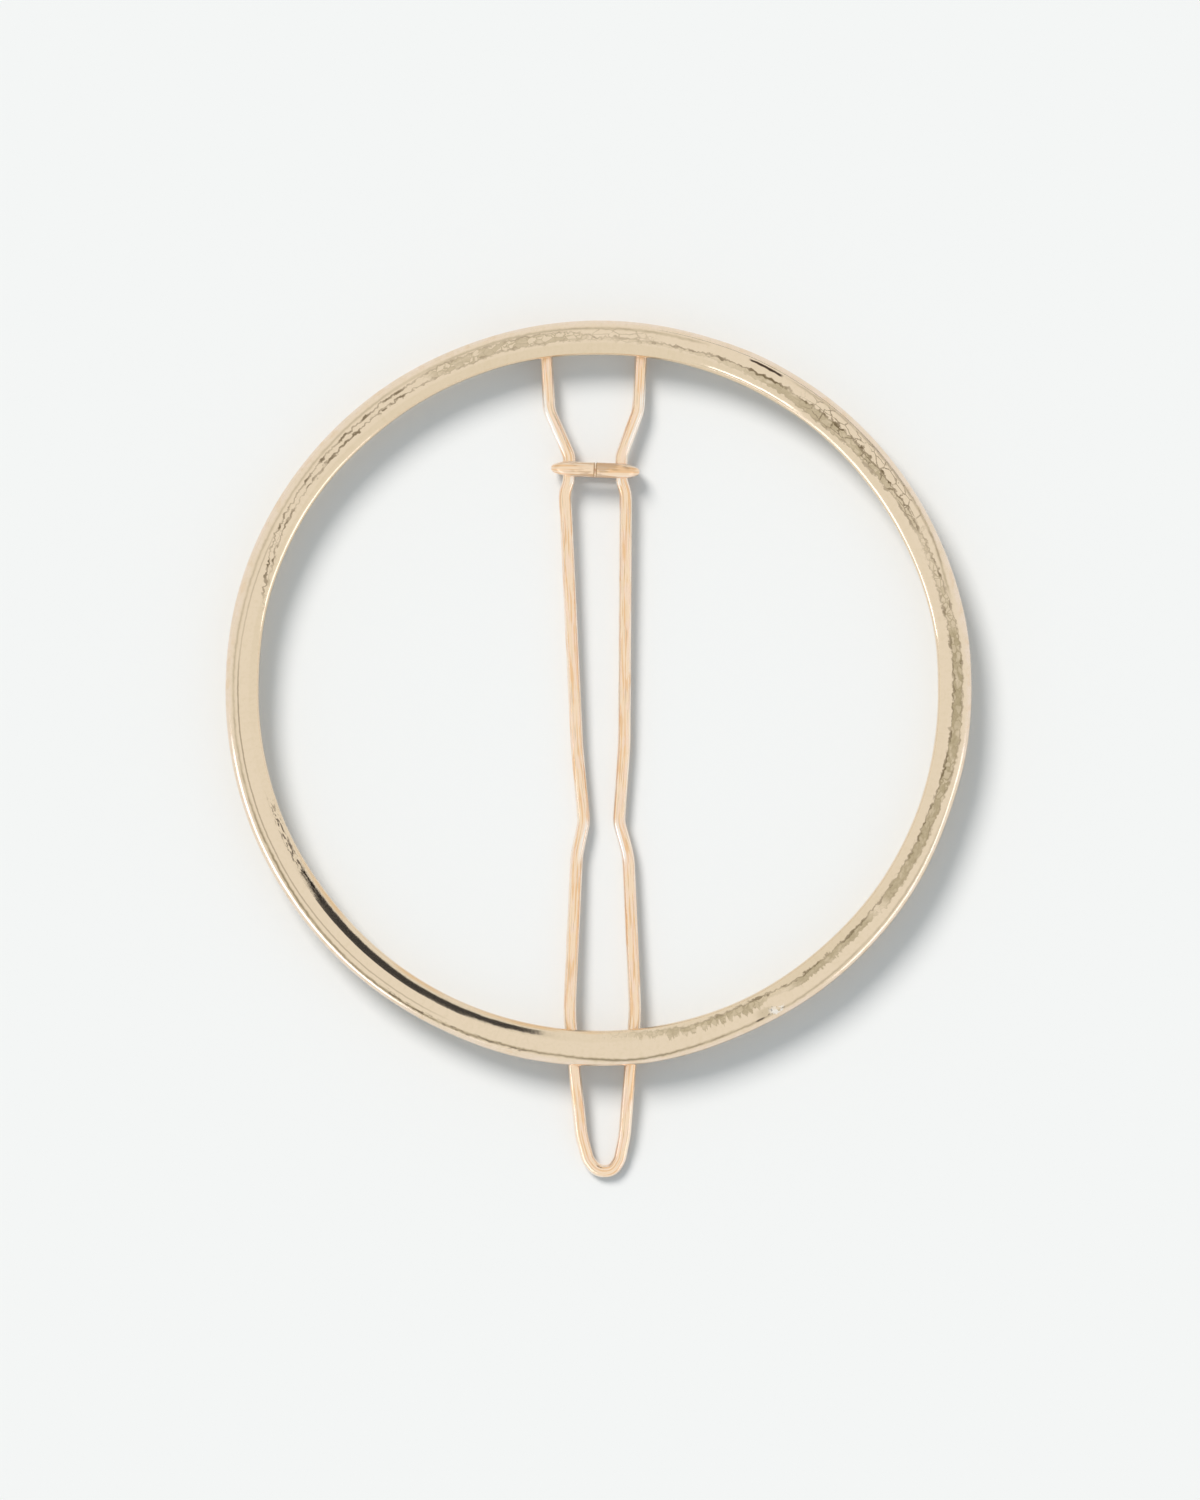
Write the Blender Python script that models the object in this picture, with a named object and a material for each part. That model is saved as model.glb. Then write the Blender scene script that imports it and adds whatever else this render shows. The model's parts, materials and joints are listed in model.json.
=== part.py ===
"""An open-circle hair clip: a cast ring, and behind it a sprung wire tongue that hinges in two small lugs.

The clip lies on its back. +Z is the way the ring's domed front faces, +Y runs from the tongue's tip to the
hinge, and the origin is on the ground under the middle of the clip. Sizes are in metres and radians.
"""

import math

import bmesh
import bpy
from mathutils import Matrix, Vector

# The ring: one casting with a flat back and a domed front
RING_OUTER_DIAMETER = 0.0530
RING_WIDTH = 0.0024
RING_DEPTH = 0.0017
RING_BACK_CORNER = 0.00015
RING_SIDE_SHARE = 0.22
RING_TURN_STEPS = 128
RING_DOME_STEPS = 10

# The spring wire: two arms, a neck and a long narrow loop
WIRE_DIAMETER = 0.00090
WIRE_SIDES_RESOLUTION = 4
BEND_STEP = math.radians(8)
LEAST_BEND = math.radians(0.1)
ARM_SPAN = 0.00680
ARM_OFFSET = -0.00034
SHOULDER_SPAN = 0.00636
SHOULDER_DROP = 0.00472
SHOULDER_BEND = 0.0025
NECK_SPAN = 0.00372
NECK_DROP = 0.00897
NECK_RUN_ABOVE = 0.00048
NECK_RUN_BELOW = 0.00026
NECK_BEND = 0.0010
LOOP_SPAN = 0.00455
TIP_OVERHANG = 0.0080
TONGUE_DRIFT = 0.0008
TONGUE_BOW = 0.00045

# Corners of one leg of the loop, from the neck to the tip. Down is a share of the way from the neck to the
# tip, span a share of LOOP_SPAN, drift a share of TONGUE_DRIFT, bow a share of TONGUE_BOW, lift a share of
# the height at which the wire meets the ring, and bend a share of LOOP_SPAN for the bend's radius.
LEG_CORNER_SHARES = (
    {"down": 0.033, "span": 0.950, "drift": 0.14, "bow": 0.10, "lift": 1.00, "bend": 0.45},
    {"down": 0.393, "span": 0.740, "drift": 0.61, "bow": 0.85, "lift": 1.00, "bend": 4.00},
    {"down": 0.502, "span": 0.545, "drift": 0.68, "bow": 1.00, "lift": 1.00, "bend": 0.50},
    {"down": 0.550, "span": 0.805, "drift": 0.78, "bow": 0.90, "lift": 1.00, "bend": 1.40},
    {"down": 0.775, "span": 1.030, "drift": 0.76, "bow": 0.00, "lift": 1.00, "bend": 3.50},
    {"down": 0.865, "span": 0.850, "drift": 0.76, "bow": 0.00, "lift": 0.95, "bend": 2.50},
    {"down": 0.949, "span": 0.675, "drift": 0.82, "bow": 0.00, "lift": 0.50, "bend": 1.20},
    {"down": 0.983, "span": 0.500, "drift": 0.90, "bow": 0.00, "lift": 0.10, "bend": 0.22},
    {"down": 1.000, "span": 0.250, "drift": 1.00, "bow": 0.00, "lift": 0.00, "bend": 0.22},
)

# The neck band: a link of oval wire, closed round both arms with its seam at the front
BAND_HEIGHT = 0.00105
BAND_THICKNESS = 0.00075
BAND_SEAM_GAP = 0.00008
BAND_TILT = math.radians(-2.6)
BAND_SIDE_CLEARANCE = 0.00009
BAND_FACE_CLEARANCE = 0.00005
BAND_TURN_STEPS = 12
BAND_SECTION_STEPS = 12

# The hinge: the wire's out-turned ends in two lugs on the middle of the ring's flat back
PIVOT_BEND = 0.0010
PIVOT_CLEARANCE = 0.00005
LUG_WALL = 0.00035
LUG_LENGTH = 0.0010
LUG_SIDE_CLEARANCE = 0.00012
LUG_FOOT_GAP = 0.00005
LUG_GROUND_GAP = 0.000125
LUG_ROUND_STEPS = 16
STUB_OVERRUN = 0.00025

# How close the wire lies behind the ring when the clip is shut
RING_REST_GAP = 0.00005

# Heights above the ground
wire_radius = WIRE_DIAMETER / 2
lug_bore_radius = wire_radius + PIVOT_CLEARANCE
lug_outer_radius = lug_bore_radius + LUG_WALL
pivot_height = lug_outer_radius + LUG_GROUND_GAP
neck_height = BAND_THICKNESS + BAND_FACE_CLEARANCE + wire_radius
ring_back_height = max(neck_height, pivot_height) + wire_radius + RING_REST_GAP

# Places along the clip, with the middle of its whole length at zero
ring_outer_radius = RING_OUTER_DIAMETER / 2
ring_middle_radius = ring_outer_radius - RING_WIDTH / 2
ring_centre_y = TIP_OVERHANG / 2
lug_reach = ARM_SPAN / 2 + PIVOT_BEND + LUG_SIDE_CLEARANCE + LUG_LENGTH / 2
pivot_y = ring_centre_y + math.sqrt(ring_middle_radius**2 - lug_reach**2)
shoulder_y = pivot_y - SHOULDER_DROP
neck_y = pivot_y - NECK_DROP
tip_y = ring_centre_y - ring_outer_radius - TIP_OVERHANG + wire_radius
neck_x = ARM_OFFSET + TONGUE_DRIFT * LEG_CORNER_SHARES[0]["drift"]


def clear_scene():
    for old in list(bpy.data.objects):
        bpy.data.objects.remove(old, do_unlink=True)


def make_metal(name, colour, roughness):
    material = bpy.data.materials.new(name)
    material.use_nodes = True
    shader = material.node_tree.nodes["Principled BSDF"]
    shader.inputs["Base Color"].default_value = (*colour, 1)
    shader.inputs["Metallic"].default_value = 1
    shader.inputs["Roughness"].default_value = roughness
    return material


def add_object(name, data, material):
    piece = bpy.data.objects.new(name, data)
    piece.data.materials.append(material)
    bpy.context.scene.collection.objects.link(piece)
    return piece


def hang_on_hinge(piece, hinge, place):
    """Put a piece at its place in the clip, and let it turn with the hinge."""
    piece.parent = hinge
    piece.location = Vector(place) - hinge.location


def finish_mesh(name, mesh_builder):
    """Turn a bmesh into a mesh that faces outwards and shades smooth across its shallow edges."""
    bmesh.ops.recalc_face_normals(mesh_builder, faces=mesh_builder.faces)
    mesh = bpy.data.meshes.new(name)
    mesh_builder.to_mesh(mesh)
    mesh_builder.free()
    mesh.shade_smooth()
    mesh.set_sharp_from_angle(angle=math.radians(40))
    return mesh


def ring_profile():
    """Section of the ring as (radius, height) from its back: flat back, short straight sides, domed front."""
    half_width = RING_WIDTH / 2
    middle = ring_middle_radius
    side_top = RING_DEPTH * RING_SIDE_SHARE
    dome_height = RING_DEPTH * (1 - RING_SIDE_SHARE)
    corner = RING_BACK_CORNER
    points = [
        (middle - half_width, corner),
        (middle - half_width + corner, 0),
        (middle + half_width - corner, 0),
        (middle + half_width, corner),
    ]
    for step in range(RING_DOME_STEPS + 1):
        turn = math.pi * step / RING_DOME_STEPS
        points.append((middle + half_width * math.cos(turn), side_top + dome_height * math.sin(turn)))
    return points


def build_ring(material, hinge):
    shape = bmesh.new()
    profile = [shape.verts.new((radius, 0, height)) for radius, height in ring_profile()]
    edges = [shape.edges.new((a, b)) for a, b in zip(profile, profile[1:] + profile[:1])]
    bmesh.ops.spin(
        shape,
        geom=profile + edges,
        axis=(0, 0, 1),
        cent=(0, 0, 0),
        steps=RING_TURN_STEPS,
        angle=math.tau,
        use_merge=True,
    )
    ring = add_object("ring", finish_mesh("ring", shape), material)
    hang_on_hinge(ring, hinge, (0, ring_centre_y, ring_back_height))


def rounded_path(corners, radii):
    """Run straight between the corners, with an arc of the given radius at each one."""
    path = [corners[0]]
    for before, corner, after, radius in zip(corners, corners[1:], corners[2:], radii):
        into = (corner - before).normalized()
        out = (after - corner).normalized()
        turn = into.angle(out)
        if turn < LEAST_BEND:
            path.append(corner)
            continue
        shortest = min((corner - before).length, (after - corner).length) / 2
        tangent = min(radius * math.tan(turn / 2), shortest)
        real_radius = tangent / math.tan(turn / 2)
        start = corner - into * tangent
        axis = into.cross(out).normalized()
        centre = start + axis.cross(into) * real_radius
        steps = max(2, math.ceil(turn / BEND_STEP))
        for step in range(steps + 1):
            spun = Matrix.Rotation(turn * step / steps, 3, axis) @ (start - centre)
            path.append(centre + spun)
    path.append(corners[-1])
    return path


def leg_corners(side):
    """Corners of one arm and leg and the bend radius at each, from the stub in its lug to near the tip."""
    stub_x = stub_end_x(side)
    corners = [
        Vector((stub_x, pivot_y, pivot_height)),
        Vector((ARM_OFFSET + side * ARM_SPAN / 2, pivot_y, pivot_height)),
    ]
    radii = [PIVOT_BEND]
    arm_share = SHOULDER_DROP / NECK_DROP
    shoulder_height = pivot_height + (neck_height - pivot_height) * arm_share
    corners.append(Vector((ARM_OFFSET + side * SHOULDER_SPAN / 2, shoulder_y, shoulder_height)))
    radii.append(SHOULDER_BEND)
    for run in (BAND_HEIGHT / 2 + NECK_RUN_ABOVE, -BAND_HEIGHT / 2 - NECK_RUN_BELOW):
        corners.append(Vector((neck_x + side * NECK_SPAN / 2, neck_y + run, neck_height)))
        radii.append(NECK_BEND)
    for share in LEG_CORNER_SHARES:
        height = wire_radius + (neck_height - wire_radius) * share["lift"] - TONGUE_BOW * share["bow"]
        x = ARM_OFFSET + TONGUE_DRIFT * share["drift"] + side * LOOP_SPAN * share["span"] / 2
        corners.append(Vector((x, neck_y + (tip_y - neck_y) * share["down"], height)))
        radii.append(LOOP_SPAN * share["bend"])
    return corners, radii


def stub_end_x(side):
    """The wire's end lies just outside its lug."""
    return ARM_OFFSET + side * (lug_reach + LUG_LENGTH / 2 + STUB_OVERRUN)


def curve_along(name, path):
    curve = bpy.data.curves.new(name, "CURVE")
    curve.dimensions = "3D"
    curve.use_fill_caps = True
    curve.twist_mode = "MINIMUM"
    spline = curve.splines.new("POLY")
    spline.points.add(len(path) - 1)
    for point, place in zip(spline.points, path):
        point.co = (*place, 1)
    spline.use_smooth = True
    return curve


def build_spring_wire(material):
    left, left_radii = leg_corners(-1)
    right, right_radii = leg_corners(1)
    path = rounded_path(left + right[::-1], left_radii + right_radii[::-1])
    curve = curve_along("spring_wire", path)
    curve.bevel_depth = wire_radius
    curve.bevel_resolution = WIRE_SIDES_RESOLUTION
    add_object("spring_wire", curve, material)


def band_section():
    """Guide curve: the oval section of the band's wire."""
    section = bpy.data.curves.new("band_section", "CURVE")
    section.dimensions = "2D"
    section.fill_mode = "NONE"
    outline = section.splines.new("POLY")
    outline.points.add(BAND_SECTION_STEPS - 1)
    for step, point in enumerate(outline.points):
        turn = math.tau * step / BAND_SECTION_STEPS
        point.co = (BAND_HEIGHT / 2 * math.cos(turn), -BAND_THICKNESS / 2 * math.sin(turn), 0, 1)
    outline.use_cyclic_u = True
    guide = bpy.data.objects.new("band_section", section)
    guide.hide_render = True
    guide.display_type = "WIRE"
    bpy.context.scene.collection.objects.link(guide)
    return guide


def band_path():
    """From the seam at the front, round one leg, along the back, round the other leg and back to the seam."""
    turn_radius = (WIRE_DIAMETER + BAND_THICKNESS) / 2 + BAND_FACE_CLEARANCE
    spare = BAND_SIDE_CLEARANCE - BAND_FACE_CLEARANCE
    turn_centre = NECK_SPAN / 2 + spare
    path = [Vector((BAND_SEAM_GAP / 2, 0, turn_radius))]
    for side, first in ((1, math.pi / 2), (-1, -math.pi / 2)):
        for step in range(BAND_TURN_STEPS + 1):
            turn = first - math.pi * step / BAND_TURN_STEPS
            x = side * turn_centre + turn_radius * math.cos(turn)
            path.append(Vector((x, 0, turn_radius * math.sin(turn))))
    path.append(Vector((-BAND_SEAM_GAP / 2, 0, turn_radius)))
    return path


def build_neck_band(material):
    curve = curve_along("neck_band", band_path())
    curve.bevel_mode = "OBJECT"
    curve.bevel_object = band_section()
    band = add_object("neck_band", curve, material)
    band.location = (neck_x, neck_y, neck_height)
    band.rotation_euler = (0, 0, BAND_TILT)


def build_lug(name, side, material, hinge):
    """A saddle with a round underside: its flat foot is on the ring's back and its bore holds the wire's end."""
    foot = ring_back_height - LUG_FOOT_GAP - pivot_height
    near = -LUG_LENGTH / 2
    shape = bmesh.new()
    outline = [shape.verts.new((near, y, foot)) for y in (lug_outer_radius, -lug_outer_radius)]
    bore = []
    for step in range(LUG_ROUND_STEPS + 1):
        turn = math.pi + math.pi * step / LUG_ROUND_STEPS
        place = (near, lug_outer_radius * math.cos(turn), lug_outer_radius * math.sin(turn))
        outline.append(shape.verts.new(place))
    for step in range(2 * LUG_ROUND_STEPS):
        turn = math.pi * step / LUG_ROUND_STEPS
        place = (near, lug_bore_radius * math.cos(turn), lug_bore_radius * math.sin(turn))
        bore.append(shape.verts.new(place))
    loops = [outline, bore]
    edges = [shape.edges.new(ends) for loop in loops for ends in zip(loop, loop[1:] + loop[:1])]
    bmesh.ops.triangle_fill(shape, use_beauty=True, use_dissolve=False, edges=edges)
    grown = bmesh.ops.extrude_face_region(shape, geom=list(shape.faces))
    moved = [item for item in grown["geom"] if isinstance(item, bmesh.types.BMVert)]
    bmesh.ops.translate(shape, verts=moved, vec=(LUG_LENGTH, 0, 0))
    lug = add_object(name, finish_mesh(name, shape), material)
    hang_on_hinge(lug, hinge, (ARM_OFFSET + side * lug_reach, pivot_y, pivot_height))


def build_clip():
    clear_scene()
    ring_gold = make_metal("champagne_gold", (0.79, 0.67, 0.49), 0.18)
    wire_gold = make_metal("peach_gold", (0.88, 0.66, 0.44), 0.16)
    hinge = bpy.data.objects.new("hinge_axis", None)
    hinge.location = (ARM_OFFSET, pivot_y, pivot_height)
    bpy.context.scene.collection.objects.link(hinge)
    build_spring_wire(wire_gold)
    build_neck_band(wire_gold)
    build_ring(ring_gold, hinge)
    build_lug("hinge_lug_left", -1, ring_gold, hinge)
    build_lug("hinge_lug_right", 1, ring_gold, hinge)


build_clip()
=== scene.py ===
import json
import math

import bmesh
import bpy
from mathutils import Matrix, Vector, noise


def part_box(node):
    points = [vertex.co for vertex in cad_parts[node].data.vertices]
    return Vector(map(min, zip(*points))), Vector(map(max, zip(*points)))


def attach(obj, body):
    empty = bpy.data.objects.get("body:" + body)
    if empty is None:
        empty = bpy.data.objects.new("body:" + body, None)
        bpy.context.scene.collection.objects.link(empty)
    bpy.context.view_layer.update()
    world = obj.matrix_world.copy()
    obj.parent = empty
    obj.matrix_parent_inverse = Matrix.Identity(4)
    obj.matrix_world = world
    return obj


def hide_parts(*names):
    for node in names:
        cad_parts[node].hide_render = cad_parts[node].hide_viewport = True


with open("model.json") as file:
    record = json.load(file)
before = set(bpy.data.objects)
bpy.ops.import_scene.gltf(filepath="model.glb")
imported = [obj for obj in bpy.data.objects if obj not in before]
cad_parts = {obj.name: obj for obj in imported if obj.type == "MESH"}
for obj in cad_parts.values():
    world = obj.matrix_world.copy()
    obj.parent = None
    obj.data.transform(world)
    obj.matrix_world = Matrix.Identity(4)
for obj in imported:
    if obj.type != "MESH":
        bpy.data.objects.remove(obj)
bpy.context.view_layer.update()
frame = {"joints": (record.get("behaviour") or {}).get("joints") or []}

scene = bpy.context.scene
scene.view_settings.view_transform = "Standard"


# The camera looks straight down on the clip, which lies on its back. Its lens is long, so that the ring
# stays a true circle, and the ring's circle in the photograph sets its place.
PHOTO_HEIGHT_PX = 1500
PHOTO_MIDDLE_PX = (600, 750)
RING_CENTRE_PX = (598.5, 692.5)
RING_DIAMETER_PX = 746.5
CAMERA_HEIGHT = 1.0
SENSOR_MM = 36

ring_low, ring_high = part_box("ring")
ring_centre = (ring_low + ring_high) / 2
ring_radius = (ring_high.x - ring_low.x) / 2
pixel = 2 * ring_radius / RING_DIAMETER_PX

lens = bpy.data.cameras.new("straight_down")
lens.sensor_width = SENSOR_MM
lens.lens = SENSOR_MM * CAMERA_HEIGHT / (PHOTO_HEIGHT_PX * pixel)
camera = bpy.data.objects.new("camera", lens)
camera.location = (
    ring_centre.x + (PHOTO_MIDDLE_PX[0] - RING_CENTRE_PX[0]) * pixel,
    ring_centre.y - (PHOTO_MIDDLE_PX[1] - RING_CENTRE_PX[1]) * pixel,
    ring_centre.z + CAMERA_HEIGHT,
)
scene.collection.objects.link(camera)
scene.camera = camera


# The ring is one casting, filed by hand a little out of true, polished and plated pale champagne gold.
# Its back is flat. Its front has a steep inner slope, a broad crown and a rounded outer shoulder. Painted
# reflections lie on the plating: an uneven olive band along the crown with ragged dark outlines, and fine
# lines.
RING_WIDTH = 0.00240
BACK_CORNER = 0.00015
INNER_SLOPE_SHARE = 0.37
INNER_SLOPE_TILT = math.radians(33)
INNER_SLOPE_BELLY = math.radians(4)
INNER_SLOPE_ROUNDING = 0.0029
INNER_EDGE_ROUNDING = 0.00035
CROWN_DROP = 0.00007
CROWN_ROUNDING = 0.0020
SLOPE_ROUNDING = 0.00035
GROOVE_SHARE = 0.715
GROOVE_WIDTH = 0.00007
GROOVE_DEPTH = 0.000025
SHOULDER_SHARE = 0.85
SHOULDER_DROP = 0.00005
SHOULDER_TILT = math.radians(38)
SHOULDER_BREAK_ROUNDING = 0.00015
SHOULDER_END_SHARE = 0.965
SHOULDER_ROUNDING = 0.0006
OUTER_SIDE_SHARE = 0.60
RING_STEPS = 720
ARC_STEP = math.radians(8)
WAVE_SIZE = 0.0065
WAVE_DEPTH = 0.000040
LUMP_SIZE = 0.0010
LUMP_DEPTH = 0.000010
DENTS = (
    {"azimuth": math.radians(-60.5), "across": 0.72, "size": 0.00045, "depth": 0.00006},
    {"azimuth": math.radians(-63.5), "across": 0.55, "size": 0.00030, "depth": 0.00003},
    {"azimuth": math.radians(-87.0), "across": 0.88, "size": 0.00024, "depth": 0.00004},
)
# Azimuth in degrees, and how far out of true the outer and inner edges were filed there, in millimetres
FILING = (
    (0, 0.00, 0.00), (11, 0.08, 0.11), (30, 0.08, 0.06), (48, 0.08, 0.06), (62, 0.03, 0.00),
    (75, -0.08, -0.05), (90, -0.08, -0.14), (108, -0.09, 0.00), (128, 0.00, 0.07), (148, 0.06, 0.20),
    (162, 0.08, 0.20), (180, 0.00, 0.02), (200, 0.00, 0.00), (218, -0.04, -0.12), (242, -0.09, -0.10),
    (260, 0.03, -0.10), (276, 0.06, -0.08), (295, -0.11, -0.02), (312, -0.06, -0.07), (328, -0.03, 0.01),
    (341, -0.11, 0.02), (352, -0.01, 0.00), (360, 0.00, 0.00),
)

CHAMPAGNE = (0.865, 0.705, 0.523)
CHAMPAGNE_RIM_SHEEN = (0.905, 0.750, 0.620)
CHAMPAGNE_DULL = (0.760, 0.615, 0.420)
CHAMPAGNE_BARE = (1.000, 0.970, 0.930)
OLIVE_TARNISH_AND_REFLECTION = (0.425, 0.340, 0.200)
REFLECTION_DARK = (0.130, 0.082, 0.032)
WORN_AMBER = (0.800, 0.540, 0.300)
NICK_AND_REFLECTION_BROWN = (0.060, 0.035, 0.022)
CHAMPAGNE_ROUGHNESS = 0.085
CHAMPAGNE_RELIEF = 0.000007
BACK_ROUGHNESS = 0.14
BACK_HEIGHT = 0.0002
FRONT_HEIGHT = 0.0008
SHARP_ANGLE = math.radians(38)
CELL_LENGTH = 0.00052
CELL_WIDTH = 0.00038
LOOP_LENGTH = 0.00115
LOOP_WIDTH = 0.00052

ring_inner = ring_radius - RING_WIDTH
ring_depth = ring_high.z - ring_low.z


def rounded(corners, closed=False):
    """Run straight between corners, given with the radius of the arc that rounds each one."""
    count = len(corners)
    path = [] if closed else [corners[0][0]]
    for number in range(count) if closed else range(1, count - 1):
        before = corners[number - 1][0]
        corner, radius = corners[number]
        after = corners[(number + 1) % count][0]
        into = (corner - before).normalized()
        out = (after - corner).normalized()
        turn = into.angle(out)
        shortest = min((corner - before).length, (after - corner).length) / 2
        tangent = min(radius * math.tan(turn / 2), shortest)
        if turn < ARC_STEP / 8:
            path.append(corner)
            continue
        axis = into.cross(out).normalized()
        start = corner - into * tangent
        centre = start + axis.cross(into) * (tangent / math.tan(turn / 2))
        steps = max(3, math.ceil(turn / ARC_STEP))
        for step in range(steps + 1):
            path.append(centre + Matrix.Rotation(turn * step / steps, 3, axis) @ (start - centre))
    if not closed:
        path.append(corners[-1][0])
    return path


def ring_section():
    """Corners of the section at +X, from the back of the inner side round the front to the outer side."""
    slope = INNER_SLOPE_SHARE * RING_WIDTH
    crown = ring_high.z - CROWN_DROP
    belly = crown - slope / 2 * math.tan(INNER_SLOPE_TILT - INNER_SLOPE_BELLY)
    inner_edge = belly - slope / 2 * math.tan(INNER_SLOPE_TILT + INNER_SLOPE_BELLY)
    groove = ring_inner + GROOVE_SHARE * RING_WIDTH
    shoulder = (SHOULDER_END_SHARE - SHOULDER_SHARE) * RING_WIDTH
    shoulder_end = crown - SHOULDER_DROP - shoulder * math.tan(SHOULDER_TILT)
    corners = (
        (ring_inner, ring_low.z, BACK_CORNER),
        (ring_inner, inner_edge, INNER_EDGE_ROUNDING),
        (ring_inner + slope / 2, belly, INNER_SLOPE_ROUNDING),
        (ring_inner + slope, crown, SLOPE_ROUNDING),
        (ring_inner + (slope + GROOVE_SHARE * RING_WIDTH) / 2, ring_high.z, CROWN_ROUNDING),
        (groove - GROOVE_WIDTH, crown, GROOVE_WIDTH / 2),
        (groove, crown - GROOVE_DEPTH, GROOVE_WIDTH / 2),
        (groove + GROOVE_WIDTH, crown, GROOVE_WIDTH / 2),
        (ring_inner + SHOULDER_SHARE * RING_WIDTH, crown - SHOULDER_DROP, SHOULDER_BREAK_ROUNDING),
        (ring_inner + SHOULDER_END_SHARE * RING_WIDTH, shoulder_end, SHOULDER_ROUNDING),
        (ring_radius, ring_low.z + OUTER_SIDE_SHARE * ring_depth, SHOULDER_ROUNDING),
        (ring_radius, ring_low.z, BACK_CORNER),
    )
    return [(Vector((radius, 0, height)), rounding) for radius, height, rounding in corners]


def cast_unevenness(place):
    """How far a point of the casting lies below its true shape."""
    wave = noise.noise(place / WAVE_SIZE) + 1
    lump = noise.noise(place / LUMP_SIZE) + 1
    return (wave * WAVE_DEPTH + lump * LUMP_DEPTH) / 2


def out_of_true(degrees):
    """How far the outer and inner edges stand outside their true circles at an azimuth."""
    for (start, *before), (end, *after) in zip(FILING, FILING[1:]):
        if start <= degrees <= end:
            share = (degrees - start) / (end - start)
            share *= share * (3 - 2 * share)
            return [(low + (high - low) * share) / 1000 for low, high in zip(before, after)]


def dent_depth(place):
    """How deep the small dents of the front are at a point."""
    depth = 0
    for dent in DENTS:
        radius = ring_inner + dent["across"] * RING_WIDTH
        middle = Vector((math.cos(dent["azimuth"]), math.sin(dent["azimuth"]))) * radius
        depth += dent["depth"] * math.exp(-((place.xy - middle).length / dent["size"] * 2) ** 2)
    return depth


class Value:
    """One output socket of a finish, which can be used in sums."""

    def __init__(self, finish, socket):
        self.finish = finish
        self.socket = socket

    def math(self, operation, *others):
        return self.finish.node("ShaderNodeMath", {"operation": operation}, dict(enumerate((self, *others))))

    def __add__(self, other):
        return self.math("ADD", other)

    def __sub__(self, other):
        return self.math("SUBTRACT", other)

    def __rsub__(self, other):
        return self.math("MULTIPLY_ADD", -1.0, other)

    def __mul__(self, other):
        return self.math("MULTIPLY", other)

    def __truediv__(self, other):
        return self.math("DIVIDE", other)

    __radd__ = __add__
    __rmul__ = __mul__


class Finish:
    """The nodes of one material, or of the world."""

    def __init__(self, owner):
        owner.use_nodes = True
        self.owner = owner
        self.tree = owner.node_tree
        self.tree.nodes.clear()

    def node(self, kind, settings, sockets, output=0):
        made = self.tree.nodes.new(kind)
        for name, value in settings.items():
            if name == "stops":
                elements = made.color_ramp.elements
                elements.remove(elements[1])
                for number, (place, level) in enumerate(value):
                    stop = elements[0] if number == 0 else elements.new(place)
                    stop.position = place
                    stop.color = (level, level, level, 1)
            else:
                setattr(made, name, value)
        for name, value in sockets.items():
            if isinstance(value, Value):
                self.tree.links.new(value.socket, made.inputs[name])
            else:
                made.inputs[name].default_value = value
        return Value(self, made.outputs[output]) if made.outputs else None


def fade(value, start, end):
    """Go smoothly from 0 at start to 1 at end."""
    settings = {"interpolation_type": "SMOOTHSTEP"}
    return value.finish.node("ShaderNodeMapRange", settings, {0: value, 1: start, 2: end, 3: 0.0, 4: 1.0})


def near(value, place, half_width, softness):
    """1 within half a width of a place and 0 beyond, with soft edges."""
    return 1 - fade((value - place).math("ABSOLUTE"), half_width - softness, half_width + softness)


def mix(amount, low, high):
    """Go from one colour to another, each a tuple or a socket."""
    low, high = (value if isinstance(value, Value) else (*value, 1) for value in (low, high))
    return amount.finish.node("ShaderNodeMix", {"data_type": "RGBA"}, {0: amount, 6: low, 7: high}, output=2)


def metal(finish, colour, roughness, height, distance):
    """End a finish in a metal that takes its colour, roughness and fine relief from sockets."""
    relief = finish.node("ShaderNodeBump", {}, {"Height": height, "Distance": distance, "Strength": 1.0})
    sockets = {"Base Color": colour, "Metallic": 1.0, "Roughness": roughness, "Normal": relief}
    shader = finish.node("ShaderNodeBsdfPrincipled", {}, sockets)
    finish.node("ShaderNodeOutputMaterial", {}, {"Surface": shader})


def add_piece(name, shape, finish, body, slot, *nodes):
    """Hand a finished shape over as a piece that faces outwards, shades smooth and rides on its body."""
    bmesh.ops.recalc_face_normals(shape, faces=shape.faces)
    mesh = bpy.data.meshes.new(name)
    shape.to_mesh(mesh)
    shape.free()
    mesh.shade_smooth()
    mesh.set_sharp_from_angle(angle=SHARP_ANGLE)
    mesh.materials.append(finish.owner)
    piece = bpy.data.objects.new(name, mesh)
    scene.collection.objects.link(piece)
    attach(piece, body)
    if nodes:
        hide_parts(*nodes)


champagne = Finish(bpy.data.materials.new("champagne_plating_painted_reflections"))
spot = champagne.node("ShaderNodeTexCoord", {}, {}, output="Object")
east = champagne.node("ShaderNodeSeparateXYZ", {}, {"Vector": spot}, output="X") - ring_centre.x
north = champagne.node("ShaderNodeSeparateXYZ", {}, {"Vector": spot}, output="Y") - ring_centre.y
height = champagne.node("ShaderNodeSeparateXYZ", {}, {"Vector": spot}, output="Z") - ring_low.z
reach = (east * east + north * north).math("SQRT")
across = (reach - ring_inner) / RING_WIDTH
azimuth = (north.math("ARCTAN2", east) / math.tau + 1.0).math("FRACT")


def along_and_across(length, width, bend=0.0):
    """A place for a texture whose features have a length along the ring and a width across it."""
    along = ring_radius / length
    sockets = {"X": east / reach * along + bend, "Y": north / reach * along + bend, "Z": reach / width}
    return champagne.node("ShaderNodeCombineXYZ", {}, sockets)


def grain(length, width, detail):
    """Noise from 0 to 1 in patches of a given length and width."""
    sockets = {"Vector": along_and_across(length, width), "Scale": 1.0, "Detail": detail}
    return champagne.node("ShaderNodeTexNoise", {}, sockets)


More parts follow.
